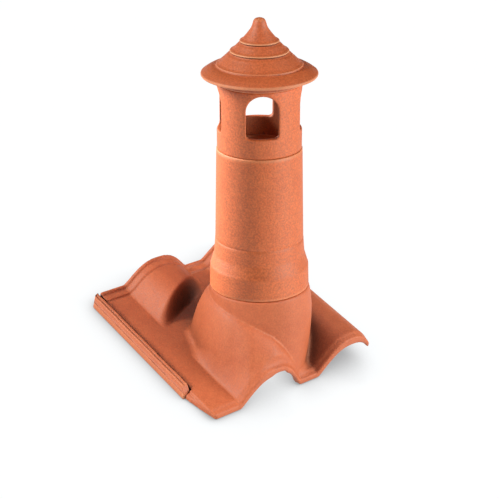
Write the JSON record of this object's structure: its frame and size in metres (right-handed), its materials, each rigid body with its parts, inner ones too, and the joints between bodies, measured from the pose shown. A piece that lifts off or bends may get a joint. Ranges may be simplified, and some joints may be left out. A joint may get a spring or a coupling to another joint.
{
  "type": "chimney pot on a roof tile",
  "caption": "Terracotta roof tile with a leaning vent pipe cast into it, carrying a shaft, a windowed lantern and a conical cap.",
  "frame": {"origin": "middle of the tile's outline on the plane that its two pans rest on", "axes": "+X across the tile from its interlocking left edge to its open right edge, +Y up the roof slope towards the ridge, +Z away from the roof"},
  "size_m": [0.416, 0.384, 0.658],
  "materials": {
    "tile_terracotta": "pressed and fired red clay, matt, slightly grainy",
    "pipe_terracotta": "turned and fired red clay, matt, with faint turning lines",
    "cap_terracotta": "turned and fired red clay, matt, with turned grooves"
  },
  "bodies": {
    "root": {"base_tile": "tile_terracotta", "shaft": "pipe_terracotta", "lantern": "pipe_terracotta", "cap": "cap_terracotta"}
  },
  "joints": []
}
